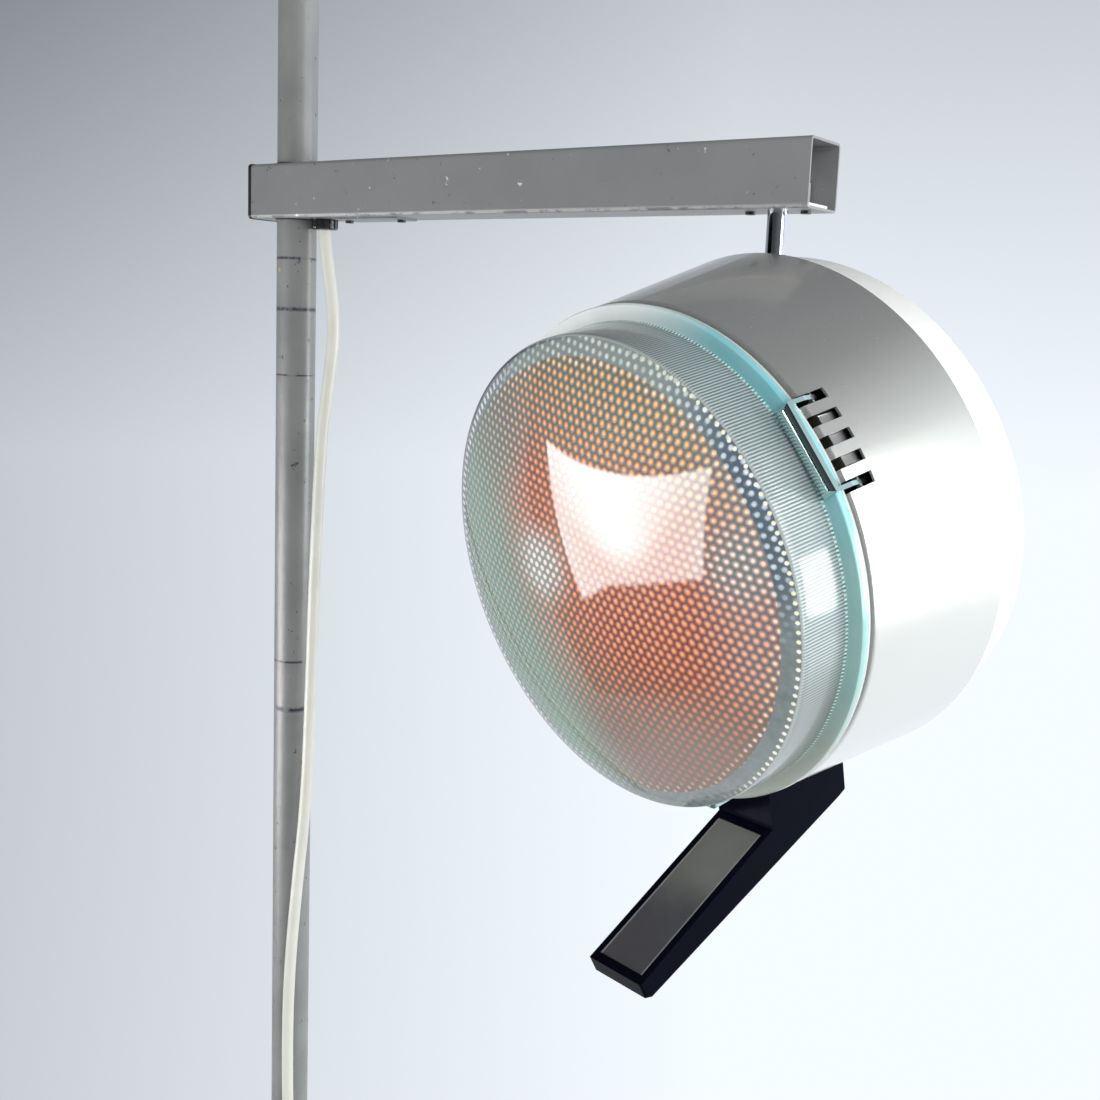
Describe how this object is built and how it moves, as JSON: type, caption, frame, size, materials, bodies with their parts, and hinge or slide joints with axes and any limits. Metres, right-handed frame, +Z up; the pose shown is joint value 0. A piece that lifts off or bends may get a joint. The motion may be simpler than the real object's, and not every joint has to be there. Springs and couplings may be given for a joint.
{
  "type": "medical floor lamp",
  "caption": "Examination floor lamp: a round foot and tube pole carry a sliding, swinging square arm from which a tilting drum head with a domed prismatic glass and a black handle hangs.",
  "frame": {"origin": "on the floor, on the pole's axis", "axes": "+Z up along the pole, +X along the arm towards the lamp head, as the arm stands at rest"},
  "size_m": [0.7694, 0.42, 1.704],
  "materials": {
    "foot_enamel": "satin grey enamel on cast iron",
    "rubber": "matt",
    "pole_metal": "satin, scuffed",
    "black_plastic": "satin",
    "steel": "zinc plated",
    "cord": "satin",
    "plug_plastic": "satin",
    "brass": "nickelled",
    "arm_paint": "satin paint, chipped",
    "terminal_plastic": "matt",
    "aluminium": "turned",
    "chrome": "polished",
    "drum_silver": "satin metallic",
    "lens_glass": "pressed, prismatic",
    "dichroic_mirror": "coated",
    "bulb_glass": "clear",
    "ceramic": "glazed",
    "fibre": "matt",
    "cover_plastic": "satin",
    "handle_plastic": "gloss",
    "smoked_panel": "gloss",
    "switch_plastic": "gloss"
  },
  "bodies": {
    "stand": {"base_casting": "foot_enamel", "base_feet": "rubber", "pole": "pole_metal", "pole_plug": "black_plastic", "pole_set_screws": "steel", "cord_drop": "cord", "cord_coil": "cord", "cord_tie": "black_plastic", "cord_plug": "plug_plastic", "plug_pins": "brass"},
    "guide": {"guide_sleeve": "black_plastic"},
    "arm": {"arm_tube": "arm_paint", "underside_plate": "arm_paint", "arm_end_cap": "black_plastic", "cord_gland": "black_plastic", "plate_screws": "steel", "sleeve_screws": "steel", "terminal_block": "terminal_plastic", "arm_lead": "cord", "cord_top": "cord", "swivel_sleeve": "aluminium"},
    "hanger": {"swivel_pin": "chrome", "pin_washer": "steel", "pin_nut": "steel", "tilt_knuckle": "steel"},
    "head": {"drum_housing": "drum_silver", "front_glass": "lens_glass", "lens_gasket": "rubber", "reflector": "dichroic_mirror", "bulb": "bulb_glass", "bulb_socket": "ceramic", "socket_bridge": "steel", "tilt_bracket": "steel", "tilt_bolt": "steel", "tilt_nut": "steel", "cover_screws": "steel", "handle_screws": "steel", "catch_brackets": "steel", "chassis_ring": "aluminium", "cover_posts": "aluminium", "friction_washers": "fibre", "rear_cover": "cover_plastic", "handle_body": "handle_plastic", "handle_panel": "smoked_panel", "switch_body": "switch_plastic"},
    "catch_1": {"lens_catch_1": "chrome"},
    "catch_2": {"lens_catch_2": "chrome"},
    "catch_3": {"lens_catch_3": "chrome"},
    "rocker": {"switch_rocker": "switch_plastic"}
  },
  "joints": [
    {"name": "arm_height", "type": "slide", "parent": "stand", "child": "guide", "axis": [0, 0, 1], "range_m": [-0.45, 0.24], "deforming": ["cord_drop"]},
    {"name": "arm_swing", "type": "hinge", "parent": "guide", "child": "arm", "pos_m": [0, 0, 1.38], "axis": [0, 0, 1], "range_deg": [-120, 120], "deforming": ["cord_top"]},
    {"name": "head_swivel", "type": "hinge", "parent": "arm", "child": "hanger", "pos_m": [0.402, 0, 1.36], "axis": [0, 0, 1], "range_deg": [-150, 150]},
    {"name": "head_tilt", "type": "hinge", "parent": "hanger", "child": "head", "pos_m": [0.402, 0, 1.3005], "axis": [0.9659, -0.2588, 0], "range_deg": [-12, 62]},
    {"name": "lens_catch_1", "type": "hinge", "parent": "head", "child": "catch_1", "pos_m": [0.49575, -0.11121, 1.23617], "axis": [-0.5681, -0.0442, 0.8218], "range_deg": [0, 25]},
    {"name": "lens_catch_2", "type": "hinge", "parent": "head", "child": "catch_2", "pos_m": [0.25986, -0.04552, 1.22576], "axis": [-0.3944, 0.3122, -0.8643], "range_deg": [0, 25]},
    {"name": "lens_catch_3", "type": "hinge", "parent": "head", "child": "catch_3", "pos_m": [0.39909, -0.03469, 1.02435], "axis": [0.9625, -0.2681, 0.0425], "range_deg": [0, 25]},
    {"name": "switch_rocker", "type": "hinge", "parent": "head", "child": "rocker", "pos_m": [0.42212, 0.0751, 1.09266], "axis": [-0.0582, -0.2173, 0.9744], "range_deg": [0, 16]}
  ]
}
